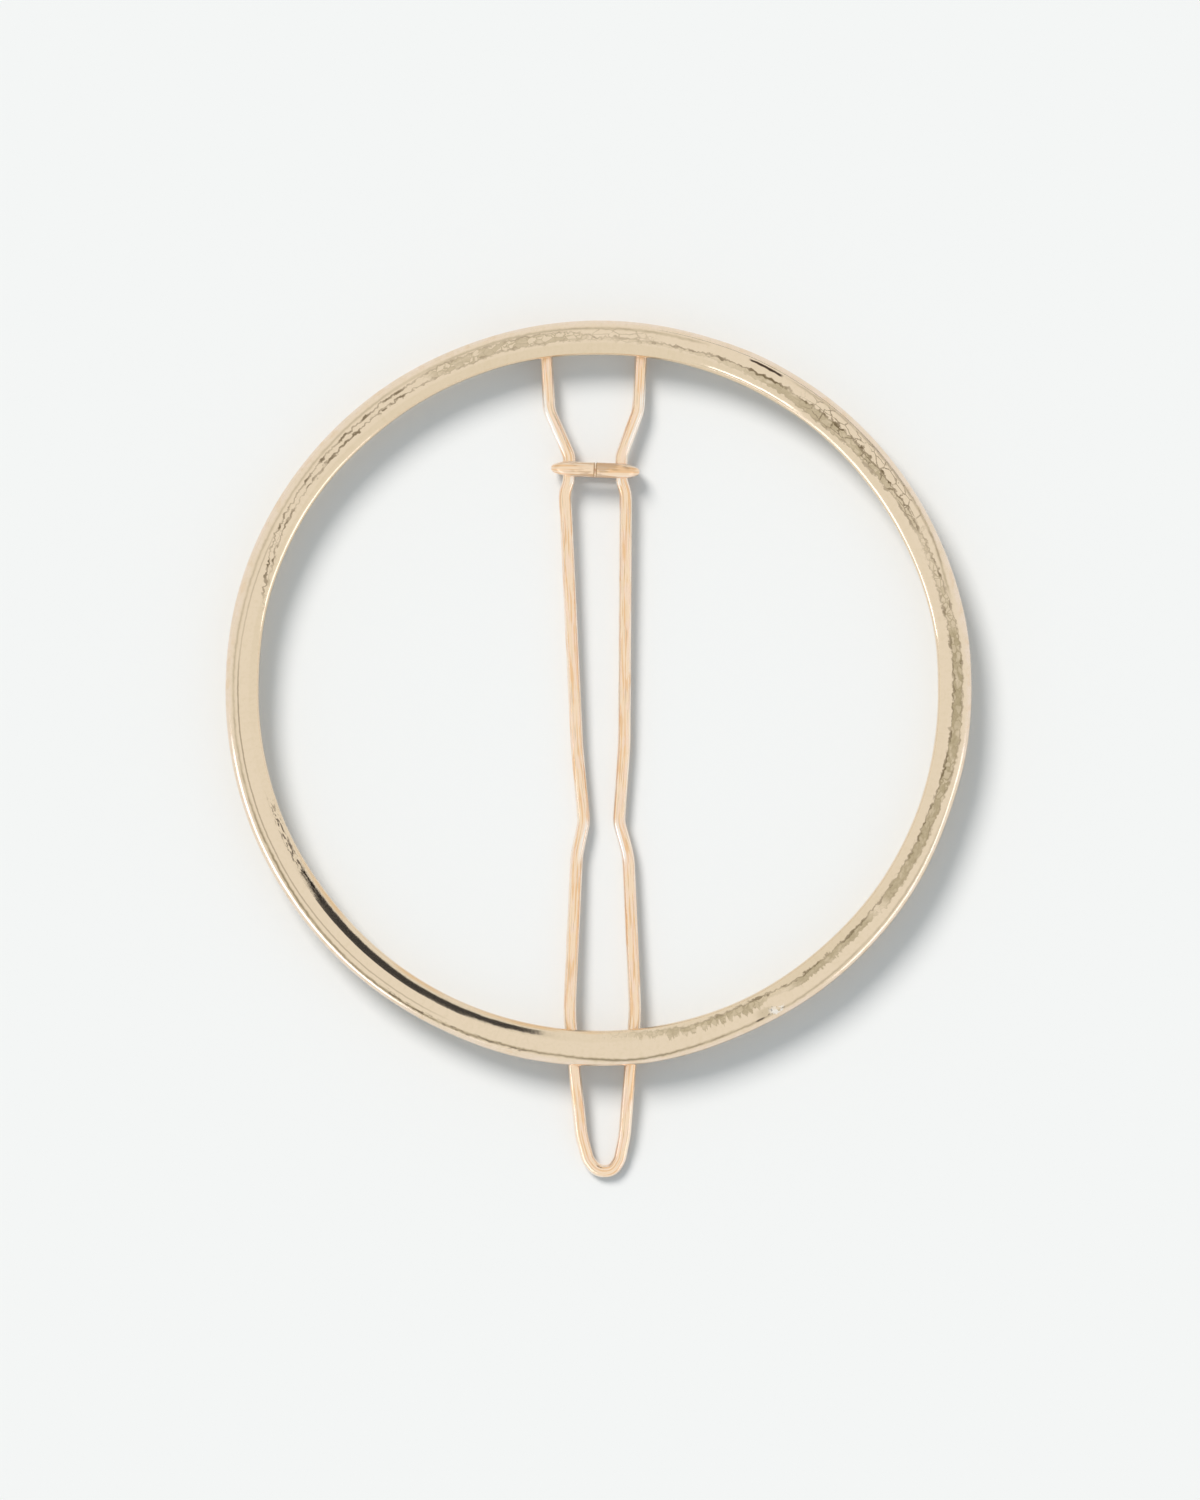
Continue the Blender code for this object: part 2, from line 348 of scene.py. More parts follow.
def cells(length, width, bend, feature, output):
    """A network of bent cells: the distance from the nearest cell edge, or a random colour for each cell."""
    sockets = {"Vector": along_and_across(length, width, bend), "Scale": 1.0}
    return champagne.node("ShaderNodeTexVoronoi", {"feature": feature}, sockets, output)


def round_the_ring(*stops):
    """A value that follows the azimuth, given as pairs of degrees and level in rising order."""
    settings = {"stops": [(degrees / 360, level) for degrees, level in stops]}
    return champagne.node("ShaderNodeValToRGB", settings, {"Fac": azimuth})


def mark(degrees, half_length, end_softness, share, half_width, side_softness):
    """A mark on the front, at an azimuth and a share of the ring's width. Its sides may be ragged."""
    lengthways = near(azimuth, degrees / 360, half_length / 360, end_softness / 360)
    return lengthways * near(across + ragged * side_softness * 3, share, half_width, side_softness)


ragged = grain(0.00042, 0.00030, 2.0) - 0.5
teeth = grain(0.00030, 0.0040, 2.5) - 0.5
wander = grain(0.0040, 0.0030, 1.0) - 0.5
patches = grain(0.0012, 0.0004, 2.0)
long_patches = grain(0.0055, 0.0010, 1.0)
blots = grain(0.0008, 0.0005, 1.0)
fine = grain(0.00030, 0.00022, 1.0)
cross_grain = grain(0.00034, 0.0010, 1.0)
speck_grain = grain(0.00050, 0.00010, 2.0)

# The painted reflection band: where its two outlines run across the ring, how dark each is, and how dull it
# is between
band_top = round_the_ring(
    (0, 0.73), (10, 0.74), (18, 0.67), (24, 0.60), (42, 0.56), (56, 0.54), (66, 0.49), (80, 0.44),
    (90, 0.45), (95, 0.66), (117, 0.70), (122, 0.63), (150, 0.62), (156, 0.55), (166, 0.20), (170, 0.10),
    (273, 0.14), (278, 0.26), (283, 0.34), (297, 0.40), (300, 0.28), (303, 0.43), (312, 0.45), (321, 0.46),
    (324, 0.55), (331, 0.57), (343, 0.62), (350, 0.70), (360, 0.73),
)
band_foot = round_the_ring(
    (0, 0.455), (18, 0.47), (30, 0.46), (37, 0.37), (50, 0.28), (60, 0.29), (66, 0.34), (90, 0.37),
    (95, 0.38), (117, 0.42), (122, 0.46), (150, 0.46), (156, 0.40), (166, 0.12), (170, 0.04), (272, 0.02),
    (283, 0.14), (297, 0.14), (300, 0.20), (304, 0.26), (322, 0.29), (331, 0.31), (343, 0.37), (350, 0.42),
    (360, 0.455),
)
top_ink = round_the_ring(
    (0, 0.5), (8, 0.6), (14, 0.8), (28, 0.7), (32, 1.0), (56, 1.0), (66, 0.8), (80, 0.6), (92, 0.6),
    (95, 0.4), (117, 0.4), (122, 0.85), (150, 0.85), (158, 1.0), (164, 0.5), (167, 0.0), (277, 0.0),
    (283, 0.1), (300, 0.1), (330, 0.3), (350, 0.4),
)
foot_ink = round_the_ring(
    (0, 0.6), (18, 0.6), (36, 0.5), (56, 0.35), (62, 0.0), (91, 0.0), (95, 0.3), (117, 0.4), (122, 0.85),
    (150, 0.85), (158, 0.9), (163, 0.0), (272, 0.0), (283, 0.3), (298, 0.7), (302, 0.8), (322, 0.6),
    (330, 0.4), (338, 0.8), (352, 0.8), (360, 0.6),
)
band_fill = round_the_ring(
    (0, 0.85), (9, 0.85), (12, 0.6), (19, 0.5), (22, 0.25), (34, 0.4), (37, 0.65), (60, 0.7), (68, 0.3),
    (90, 0.2), (95, 0.5), (117, 0.5), (119, 0.0), (272, 0.0), (277, 0.35), (283, 0.6), (297, 0.75),
    (299, 0.1), (303, 0.1), (304.5, 0.75), (320, 0.75), (321.5, 0.05), (323, 0.05), (324.5, 0.75), (335, 0.8),
    (360, 0.85),
)
cell_windows = round_the_ring(
    (0, 0.3), (9, 0.5), (19, 0.8), (30, 0.8), (48, 0.3), (60, 0.1), (84, 0.5), (95, 1.0), (117, 1.0),
    (120, 0.1), (268, 0.1), (280, 0.4), (297, 0.4), (303, 0.1), (340, 0.2), (346, 0.5), (352, 0.3),
)
cell_net_ink = round_the_ring(
    (0, 0.2), (9, 0.3), (19, 0.5), (30, 0.2), (54, 0.1), (80, 0.1), (84, 0.3), (90, 0.3), (95, 0.3),
    (117, 0.3), (120, 0.1), (150, 0.1), (155, 0.6), (163, 0.0), (268, 0.0), (273, 0.25), (297, 0.3),
    (303, 0.1), (340, 0.2), (346, 0.4), (352, 0.2),
)
loop_ink = round_the_ring(
    (26, 0.0), (30, 0.9), (52, 0.9), (56, 0.0), (80, 0.0), (84, 0.5), (90, 0.4), (93, 0.0),
)
tooth = round_the_ring(
    (30, 0.10), (56, 0.12), (62, 0.05), (275, 0.4), (282, 0.7), (296, 0.7), (300, 0.0), (306, 0.3),
    (322, 0.3), (328, 0.1),
)
raggedness = round_the_ring(
    (0, 0.20), (60, 0.24), (116, 0.22), (123, 0.08), (149, 0.08), (156, 0.25), (270, 0.20),
)
sway = wander * 0.10
top = across - band_top + sway + ragged * raggedness - teeth * tooth
foot = across - band_foot + sway - ragged * 0.22
inside = (1 - fade(top, -0.02, 0.02)) * fade(foot, -0.02, 0.02)
mottle = fade(patches, 0.25, 0.48) * 0.5 + fade(fine, 0.30, 0.60) * 0.15 + 0.35
painted_band = inside * band_fill * mottle
broken = fade(long_patches * 0.5 + patches * 0.5, 0.36, 0.52) * 0.75 + 0.25
blotted = fade(blots, 0.42, 0.66)
outlined = near(top, 0.0, 0.020 + blotted * 0.020, 0.018) * top_ink
outlined = outlined.math("MAXIMUM", near(foot, 0.0, 0.018 + blotted * 0.020, 0.018) * foot_ink)
outlined = outlined * (broken * 0.6 + 0.4) * (blotted * 0.4 + 0.6)

# A net of fine dark lines is painted in the reflection band, and some of its cells are left bright
cell_edge = cells(CELL_LENGTH, CELL_WIDTH, ragged, "DISTANCE_TO_EDGE", "Distance")
cell_tone = cells(CELL_LENGTH, CELL_WIDTH, ragged, "F1", "Color")
bright_cell = fade(champagne.node("ShaderNodeSeparateXYZ", {}, {"Vector": cell_tone}), 0.42, 0.55)
painted_band = painted_band * (1 - bright_cell * cell_windows * fade(cell_edge, 0.02, 0.14) * 0.85)
cell_net = (1 - fade(cell_edge, 0.0, 0.09)) * cell_net_ink * fade(patches, 0.25, 0.45)
cell_net = cell_net * (1 - fade(top, 0.02, 0.06)) * fade(foot, -0.08, -0.02)

# At the upper right and the top, wider painted loops of dark lines reach out of the reflection band
loop_edge = cells(LOOP_LENGTH, LOOP_WIDTH, ragged * 0.6, "DISTANCE_TO_EDGE", "Distance")
looped = (1 - fade(loop_edge, 0.01, 0.07)) * loop_ink * fade(patches, 0.30, 0.45)
looped = looped * (1 - fade(top, 0.24, 0.28)) * fade(foot, 0.0, 0.06)

# Painted dark reflection lines: one on the crown's outer part at the left, one nearer the shoulder all round,
# and one on the inner slope at the upper right
crown_line_share = round_the_ring((150, 0.61), (176, 0.62), (210, 0.62), (245, 0.60))
crown_line_ink = round_the_ring(
    (148, 0.0), (158, 0.5), (174, 0.4), (178, 0.9), (188, 0.9), (212, 0.7), (240, 0.5), (246, 0.0),
)
crown_line = near(across + wander * 0.03 + ragged * 0.03, crown_line_share, 0.020, 0.016) * crown_line_ink
shoulder_line_share = round_the_ring(
    (18, 0.74), (24, 0.83), (30, 0.86), (42, 0.85), (56, 0.80), (62, 0.77), (74, 0.73), (90, 0.72),
    (100, 0.74), (150, 0.76), (210, 0.75), (225, 0.79), (242, 0.79), (254, 0.74), (264, 0.75), (270, 0.81),
    (275, 0.86), (280, 0.84), (285, 0.79), (292, 0.75), (300, 0.76), (330, 0.80),
)
shoulder_ink = round_the_ring(
    (14, 0.0), (17, 0.6), (30, 0.6), (34, 0.5), (46, 0.4), (56, 0.35), (60, 0.0), (72, 0.0), (76, 0.5),
    (90, 0.5), (100, 0.35), (150, 0.3), (190, 0.4), (208, 0.9), (240, 0.9), (243, 0.9), (264, 0.7),
    (269, 0.9), (274, 0.9), (282, 0.8), (290, 0.7), (294, 0.5), (300, 0.4), (330, 0.35), (345, 0.0),
)
from_shoulder_line = across + wander * 0.03 + ragged * 0.06 - shoulder_line_share
shoulder_line = near(from_shoulder_line, 0.0, 0.022, 0.018) * shoulder_ink * broken
painted_band = painted_band.math("MAXIMUM", near(from_shoulder_line, 0.0, 0.045, 0.03) * shoulder_ink * 0.6)
slope_line_ink = round_the_ring((26, 0.0), (32, 0.35), (56, 0.5), (70, 0.5), (74, 0.0))
slope_line = near(across + wander * 0.02, 0.095, 0.014, 0.012) * slope_line_ink
lines = crown_line.math("MAXIMUM", shoulder_line).math("MAXIMUM", slope_line)

# A long nick, a short one, painted dark reflection specks at the end of the dark streak and along the
# shoulder line, a pit with flecks and a smudge beside it, and amber along the inner edge
nick = mark(62.7, 2.8, 0.35, 0.77, 0.032, 0.015)
dash = mark(296.3, 0.7, 0.3, 0.75, 0.025, 0.015)
painted_streak_specks = mark(208.0, 9.0, 3.0, 0.17, 0.075, 0.04) * fade(speck_grain, 0.46, 0.55)
pit = near(azimuth, 299.4 / 360, 1.1 / 360, 0.6 / 360) * near(across + ragged * 0.5, 0.73, 0.08, 0.05)
pit = pit * fade(fine, 0.36, 0.50)
flecks = mark(298.9, 1.8, 0.5, 0.68, 0.13, 0.04) * fade(ragged, 0.08, 0.16)
smudge = mark(297.4, 1.2, 0.8, 0.62, 0.12, 0.06)
specks = mark(247.0, 14.0, 4.0, 0.76, 0.05, 0.03) * fade(speck_grain, 0.54, 0.62)
amber = near(azimuth, 245 / 360, 34 / 360, 8 / 360) + near(azimuth, 160 / 360, 9 / 360, 5 / 360)
amber = amber * (1 - fade(across, 0.04, 0.09))
amber = amber * fade(long_patches, 0.35, 0.55)

# The marks lie over one another on the plating, which is painted pinker towards the outer rim as a
# sheen, and is softer there
front = fade(height, BACK_HEIGHT, FRONT_HEIGHT)
back = 1 - front
slope_dulled = (1 - fade(across, 0.26, 0.34)) * round_the_ring(
    (0, 0.0), (50, 0.25), (100, 0.4), (170, 0.35), (190, 0.1), (270, 0.2), (310, 0.5), (335, 0.1),
)
rim = fade(across, 0.74, 0.95)
tint = mix(rim * (fade(patches, 0.35, 0.65) * 0.6 + 0.35), CHAMPAGNE, CHAMPAGNE_RIM_SHEEN)
tint = mix(rim * front * fade(blots, 0.52, 0.70) * 0.25, tint, WORN_AMBER)
dull_grain = fade(fine, 0.45, 0.75) * 0.18 + fade(cross_grain, 0.45, 0.75) * 0.14
tint = mix(slope_dulled + dull_grain, tint, CHAMPAGNE_DULL)
tint = mix(front * amber * 0.7, tint, WORN_AMBER)
# The olive band with its dark outlines, cells, loops and lines is painted reflection
tint = mix(front * painted_band.math("MAXIMUM", smudge * 0.35), tint, OLIVE_TARNISH_AND_REFLECTION)
dark = (outlined * 0.95).math("MAXIMUM", cell_net * 0.5)
dark = dark.math("MAXIMUM", looped * 0.7).math("MAXIMUM", lines * 0.6)
tint = mix(front * dark, tint, REFLECTION_DARK)
tint = mix(front * pit * 0.7, tint, CHAMPAGNE_BARE)
nicks_and_painted_specks = nick.math("MAXIMUM", painted_streak_specks * 0.8).math("MAXIMUM", dash * 0.8 + flecks * 0.5 + specks * 0.6)
tint = mix(front * nicks_and_painted_specks, tint, NICK_AND_REFLECTION_BROWN)
dulled = painted_band * 0.18 + outlined * 0.15 + lines * 0.1 + rim * (fine * 0.12 + 0.05)
relief = ragged * 0.3 - painted_band * 0.5 - outlined * 0.7 - lines * 0.4 - (cell_net + looped) * 0.5
relief = front * relief + fine * 0.15

# The back was only rubbed flat on emery, so it is duller and keeps the casting's pits
rubbed = back * fade(grain(0.0030, 0.00010, 1.0), 0.40, 0.62)
pitted = back * fade(patches, 0.60, 0.70)
tint = mix(rubbed * 0.35 + pitted * 0.4, tint, CHAMPAGNE_DULL)
roughness = front * dulled + back * BACK_ROUGHNESS + rubbed * 0.08 + long_patches * 0.03
relief = relief - rubbed * 0.2 - pitted * 0.8
metal(champagne, tint, roughness + CHAMPAGNE_ROUGHNESS, relief, CHAMPAGNE_RELIEF)

ring = bmesh.new()
outline = [ring.verts.new(point) for point in rounded(ring_section(), closed=True)]
edges = [ring.edges.new(ends) for ends in zip(outline, outline[1:] + outline[:1])]
bmesh.ops.spin(
    ring,
    geom=outline + edges,
    axis=(0, 0, 1),
    cent=(0, 0, 0),
    steps=RING_STEPS,
    angle=math.tau,
    use_merge=True,
)
for vert in ring.verts:
    outer_shift, inner_shift = out_of_true(math.degrees(math.atan2(vert.co.y, vert.co.x)) % 360)
    outer_share = (vert.co.xy.length - ring_inner) / RING_WIDTH
    vert.co += vert.co.xy.normalized().to_3d() * (inner_shift + (outer_shift - inner_shift) * outer_share)
    front_share = (vert.co.z - ring_low.z) / ring_depth
    sunk = cast_unevenness(vert.co) * front_share
    outward = vert.co.xy.normalized() * ((vert.co.xy.length - ring_inner) / RING_WIDTH * 2 - 1) * sunk
    fall = (sunk + dent_depth(vert.co)) * front_share
    vert.co -= Vector((outward.x, outward.y, fall))
bmesh.ops.translate(ring, vec=(ring_centre.x, ring_centre.y, 0), verts=ring.verts)
add_piece("cast_ring", ring, champagne, "ring_frame", "ring_plating", "ring")


# The two lugs are small saddles of the ring's alloy, soldered by their flat feet to the middle of its
# back. Each has a bore for one out-turned end of the spring wire.
LUG_BORE_RADIUS = 0.00050
LUG_EDGE = 0.00006
LUG_EDGE_ANGLE = math.radians(50)
LUG_SIDES = 48
LUG_PITS_PER_METRE = 3500.0
LUG_ROUGHNESS = 0.2
LUG_RELIEF = 0.00001
SOLDER_SPREAD = 0.00016
SOLDER_RISE = 0.00020
SOLDER_STEPS = 5

hinge = Vector(frame["joints"][0]["pos_m"])
lug_plating = Finish(bpy.data.materials.new("soldered_lug_plating"))
lug_spot = lug_plating.node("ShaderNodeTexCoord", {}, {}, output="Object")
lug_grain = {"Vector": lug_spot, "Scale": LUG_PITS_PER_METRE, "Detail": 3.0}
lug_pits = lug_plating.node("ShaderNodeTexNoise", {}, lug_grain)
lug_tint = mix(fade(lug_pits, 0.45, 0.7) * 0.6, CHAMPAGNE, OLIVE_TARNISH_AND_REFLECTION)
metal(lug_plating, lug_tint, LUG_ROUGHNESS + lug_pits * 0.15, lug_pits, LUG_RELIEF)


def lug_shape(low, high):
    """A saddle between two faces across X, bored for the wire, with its edges broken."""
    shape = bmesh.new()
    radius = hinge.z - low.z
    foot = high.z - hinge.z
    bore_end = Vector((low.x, hinge.y, hinge.z))
    across_x = Matrix.Translation(bore_end) @ Matrix.Rotation(math.pi / 2, 4, "Y")
    loops = []
    for size in (radius, LUG_BORE_RADIUS):
        circle = {"radius": size, "segments": LUG_SIDES, "matrix": across_x}
        loops.append(bmesh.ops.create_circle(shape, cap_ends=False, **circle)["verts"])
    for vert in loops[0]:
        arm = vert.co - bore_end
        if arm.z > 0:
            vert.co = bore_end + arm * min(radius / max(abs(arm.y), radius / LUG_SIDES), foot / arm.z)
    bmesh.ops.bridge_loops(shape, edges=shape.edges[:])
    grown = bmesh.ops.extrude_face_region(shape, geom=shape.faces[:])["geom"]
    moved = [item for item in grown if isinstance(item, bmesh.types.BMVert)]
    bmesh.ops.translate(shape, vec=(high.x - low.x, 0, 0), verts=moved)
    bmesh.ops.recalc_face_normals(shape, faces=shape.faces)
    bmesh.ops.bevel(
        shape,
        geom=[edge for edge in shape.edges if edge.calc_face_angle(0) > LUG_EDGE_ANGLE],
        offset=LUG_EDGE,
        offset_type="OFFSET",
        affect="EDGES",
        segments=3,
        profile=0.5,
        material=-1,
    )
    for step in range(SOLDER_STEPS):
        level = Vector((0, 0, high.z - SOLDER_RISE * (1 - step / SOLDER_STEPS)))
        every = shape.verts[:] + shape.edges[:] + shape.faces[:]
        bmesh.ops.bisect_plane(shape, geom=every, plane_co=level, plane_no=(0, 0, 1))
    middle = (low + high) / 2
    for vert in shape.verts:
        climb = min(1, 1 - (high.z - vert.co.z) / SOLDER_RISE)
        if climb > 0:
            spread = SOLDER_SPREAD * (1 - math.sqrt(1 - climb * climb))
            vert.co.x += math.copysign(spread, vert.co.x - middle.x)
            vert.co.y += math.copysign(spread, vert.co.y - middle.y)
            vert.co.z += (ring_low.z - high.z) * climb
    return shape


for side in ("left", "right"):
    lug_node = "hinge_lug_" + side
    lug = lug_shape(*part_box(lug_node))
    add_piece(side + "_lug", lug, lug_plating, "ring_frame", "ring_plating", lug_node)


# The spring wire is one length of round drawn steel wire, bent on a jig and plated peach gold. Its two
# ends turn outwards into the lugs, its arms are drawn together at the neck, and from there it runs as a
# long loop with a pinched waist to a rounded tip.
WIRE_DIAMETER = 0.00090
RING_REST_GAP = 0.00005
ARM_SPAN = 0.00680
SHOULDER_SPAN = 0.00636
SHOULDER_FALL = 0.00472
SHOULDER_BEND = 0.0025
NECK_SPAN = 0.00372
NECK_RUN_ABOVE = 0.00048
NECK_RUN_BELOW = 0.00026
NECK_BEND = 0.0010
PIVOT_BEND = 0.0010
LOOP_SPAN = 0.00455
TONGUE_DRIFT = 0.0008
TONGUE_BOW = 0.00045
LINK_HEIGHT = 0.00105
LEG_CORNER_SHARES = (
    {"down": 0.033, "span": 0.950, "drift": 0.14, "bow": 0.10, "lift": 1.00, "bend": 0.45},
    {"down": 0.393, "span": 0.740, "drift": 0.61, "bow": 0.85, "lift": 1.00, "bend": 4.00},
    {"down": 0.502, "span": 0.545, "drift": 0.68, "bow": 1.00, "lift": 1.00, "bend": 0.50},
    {"down": 0.550, "span": 0.805, "drift": 0.78, "bow": 0.90, "lift": 1.00, "bend": 1.40},
    {"down": 0.775, "span": 1.030, "drift": 0.76, "bow": 0.00, "lift": 1.00, "bend": 3.50},
    {"down": 0.865, "span": 0.850, "drift": 0.76, "bow": 0.00, "lift": 0.95, "bend": 2.50},
    {"down": 0.949, "span": 0.675, "drift": 0.82, "bow": 0.00, "lift": 0.50, "bend": 1.20},
    {"down": 0.983, "span": 0.500, "drift": 0.90, "bow": 0.00, "lift": 0.10, "bend": 0.22},
    {"down": 1.000, "span": 0.250, "drift": 1.00, "bow": 0.00, "lift": 0.00, "bend": 0.22},
)
WIRE_SIDES = 28
WIRE_STATION = 0.00018
WIRE_CHAMFER = 0.00006

PIVOT_RUN = 0.0011
PEACH = (0.985, 0.755, 0.545)
PEACH_FLANK_SHEEN = (1.000, 0.900, 0.785)
PEACH_DEEP = (0.900, 0.545, 0.280)
PEACH_ROSE = (0.980, 0.735, 0.625)
PEACH_RUBBED = (0.560, 0.370, 0.210)
PEACH_PAINTED_HIGHLIGHT = (1.000, 0.960, 0.910)
WIRE_ROUGHNESS = 0.16
WIRE_RELIEF = 0.000005
CUT_EDGE_START = 0.00005
CUT_EDGE_END = 0.00012
# Painted highlights along the wire: how far from the wire's end and round its side, and how far each reaches
PAINTED_HIGHLIGHT_RUNS = (
    {"middle": 0.0075, "half_length": 0.0021, "side": 0.60},
    {"middle": 0.0115, "half_length": 0.0007, "side": -0.65},
    {"middle": 0.0377, "half_length": 0.0014, "side": -0.60},
)

wire_radius = WIRE_DIAMETER / 2
wire_low, wire_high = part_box("spring_wire")
link_low, link_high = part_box("neck_band")
neck_x = hinge.x + TONGUE_DRIFT * LEG_CORNER_SHARES[0]["drift"]
neck_y = (link_low.y + link_high.y) / 2
neck_height = ring_low.z - RING_REST_GAP - wire_radius
tip_y = wire_low.y + wire_radius


def leg_corners(side):
    """Corners of one arm and leg, from its end in the lug to near the tip, and the radius of each bend."""
    end_x = wire_low.x if side < 0 else wire_high.x
    shoulder_height = hinge.z + (neck_height - hinge.z) * SHOULDER_FALL / (hinge.y - neck_y)
    corners = [
        (end_x, hinge.y, hinge.z, 0),
        (hinge.x + side * ARM_SPAN / 2, hinge.y, hinge.z, PIVOT_BEND),
        (hinge.x + side * SHOULDER_SPAN / 2, hinge.y - SHOULDER_FALL, shoulder_height, SHOULDER_BEND),
    ]
    for run in (LINK_HEIGHT / 2 + NECK_RUN_ABOVE, -LINK_HEIGHT / 2 - NECK_RUN_BELOW):
        corners.append((neck_x + side * NECK_SPAN / 2, neck_y + run, neck_height, NECK_BEND))
    for share in LEG_CORNER_SHARES:
        height = wire_radius + (neck_height - wire_radius) * share["lift"] - TONGUE_BOW * share["bow"]
        x = hinge.x + TONGUE_DRIFT * share["drift"] + side * LOOP_SPAN * share["span"] / 2
        corners.append((x, neck_y + (tip_y - neck_y) * share["down"], height, LOOP_SPAN * share["bend"]))
    return [(Vector((x, y, z)), radius) for x, y, z, radius in corners]


def frames_along(path, spacing, chamfer, sideways):
    """Even steps along a path as (frame, distance), each frame with Z along the path and without twist."""
    distances = [0.0]
    for before, after in zip(path, path[1:]):
        distances.append(distances[-1] + (after - before).length)
    length = distances[-1]
    count = round(length / spacing)
    stops = [0.0, chamfer, *(length * step / count for step in range(1, count)), length - chamfer, length]
    points = []
    run = 0
    for stop in stops:
        while run < len(path) - 2 and distances[run + 1] < stop:
            run += 1
        share = (stop - distances[run]) / (distances[run + 1] - distances[run])
        points.append(path[run].lerp(path[run + 1], share))
    frames = []
    for number, point in enumerate(points):
        ahead = (points[min(number + 1, len(points) - 1)] - points[max(number - 1, 0)]).normalized()
        sideways = (sideways - ahead * sideways.dot(ahead)).normalized()
        turned = Matrix((sideways, ahead.cross(sideways), ahead)).transposed().to_4x4()
        frames.append((Matrix.Translation(point) @ turned, stops[number]))
    return frames


def draw_wire(frames, half_sizes, sides, chamfer):
    """Roll a grid into a tube along the frames, and close its chamfered ends.

    half_sizes gives the section's half width and half height at a point. The attribute drawn holds where
    each point lies round the wire and along it.
    """
    shape = bmesh.new()
    drawn = shape.verts.layers.float_vector.new("drawn")
    bmesh.ops.create_grid(shape, x_segments=sides, y_segments=len(frames) - 1, size=0.5)
    for vert in shape.verts:
        turn = (vert.co.x + 0.5) * math.tau
        number = round((vert.co.y + 0.5) * (len(frames) - 1))
        placed, along = frames[number]
        cut = chamfer if number in (0, len(frames) - 1) else 0
        half_width, half_height = half_sizes(placed.translation)
        x, y = math.cos(turn), math.sin(turn)
        vert[drawn] = (x, y, along)
        vert.co = placed @ Vector((x * (half_width - cut), y * (half_height - cut), 0))
    bmesh.ops.remove_doubles(shape, verts=shape.verts, dist=chamfer / 100)
    bmesh.ops.holes_fill(shape, edges=[edge for edge in shape.edges if edge.is_boundary])
    return shape


def peach_plating(name, length, rubbed_run, roughness, highlight_runs=()):
    """Peach plating with drawing streaks, painted flank sheen and highlights, rubbed within a run of each cut
    end.
    """
    finish = Finish(bpy.data.materials.new(name))
    drawn = finish.node("ShaderNodeAttribute", {"attribute_name": "drawn"}, {}, output=1)
    side = finish.node("ShaderNodeSeparateXYZ", {}, {0: drawn}, output=1)
    along = finish.node("ShaderNodeSeparateXYZ", {}, {0: drawn}, output=2)

    def drawn_grain(turns, per_metre, detail):
        """Noise from 0 to 1 that runs along the wire."""
        place = finish.node("ShaderNodeMapping", {}, {"Vector": drawn, "Scale": (turns, turns, per_metre)})
        return finish.node("ShaderNodeTexNoise", {}, {"Vector": place, "Scale": 1.0, "Detail": detail})

    streaks = drawn_grain(3.2, 330, 2.0)
    hairlines = drawn_grain(8.0, 420, 1.0)
    blotches = drawn_grain(1.2, 700, 2.0)
    from_end = along.math("MINIMUM", length - along)
    rubbed = (1 - fade(from_end, rubbed_run * 0.7, rubbed_run)) * fade(blotches + streaks * 0.6, 0.76, 0.86)
    cut = 1 - fade(from_end, CUT_EDGE_START, CUT_EDGE_END)
    # The flanks are painted paler, a painted sheen
    tint = mix(fade(side.math("ABSOLUTE") + (streaks - 0.5) * 0.6, 0.45, 0.95), PEACH, PEACH_FLANK_SHEEN)
    tint = mix(fade(streaks, 0.50, 0.60) * 0.75, tint, PEACH_DEEP)
    tint = mix(fade(blotches, 0.48, 0.62) * 0.35, tint, PEACH_ROSE)
    tint = mix(fade(hairlines, 0.60, 0.70) * 0.35, tint, OLIVE_TARNISH_AND_REFLECTION)
    tint = mix((rubbed * 0.6).math("MAXIMUM", cut * 0.9), tint, PEACH_RUBBED)
    # Painted highlights lie in the given runs along the wire
    for run in highlight_runs:
        painted_highlight = near(from_end, run["middle"], run["half_length"], run["half_length"] / 3)
        painted_highlight *= near(side + (streaks - 0.5) * 0.8, run["side"], 0.38, 0.12)
        tint = mix(painted_highlight * fade(hairlines, 0.35, 0.50) * 0.85, tint, PEACH_PAINTED_HIGHLIGHT)
    metal(finish, tint, blotches * 0.12 + roughness, streaks + hairlines * 0.5 - rubbed, WIRE_RELIEF)
    return finish


left, right = leg_corners(-1), leg_corners(1)
wire_frames = frames_along(rounded(left + right[::-1]), WIRE_STATION, WIRE_CHAMFER, Vector((0, 0, 1)))
wire = draw_wire(wire_frames, lambda point: (wire_radius, wire_radius), WIRE_SIDES, WIRE_CHAMFER)
wire_length = wire_frames[-1][1]
wire_plating = peach_plating("drawn_peach_plating", wire_length, PIVOT_RUN, WIRE_ROUGHNESS, PAINTED_HIGHLIGHT_RUNS)
add_piece("tongue_wire", wire, wire_plating, "tongue", "wire_plating", "spring_wire")


# The neck link is a short length of heavier oval wire, closed round both arms of the spring wire with
# pliers, so that its cut ends meet at a seam in the middle of the front. It sits a little askew.
LINK_THICKNESS = 0.00075
LINK_SEAM_GAP = 0.00010
LINK_TILT = math.radians(-2.6)
LINK_SIDE_CLEARANCE = 0.00009
LINK_FACE_CLEARANCE = 0.00005
LINK_END_TAPER = 0.36
LINK_RUBBED_RUN = 0.0019
LINK_ROUGHNESS = 0.27
LINK_SIDES = 32
LINK_STATION = 0.00010
LINK_CHAMFER = 0.00004

turn_radius = (WIRE_DIAMETER + LINK_THICKNESS) / 2 + LINK_FACE_CLEARANCE
turn_middle = NECK_SPAN / 2 + LINK_SIDE_CLEARANCE - LINK_FACE_CLEARANCE


def link_half_sizes(point):
    """The link's section narrows where it turns round an arm."""
    past_turn = max(0, abs(point.x) - turn_middle) / turn_radius
    return LINK_THICKNESS / 2, LINK_HEIGHT / 2 * (1 - LINK_END_TAPER * past_turn**2)


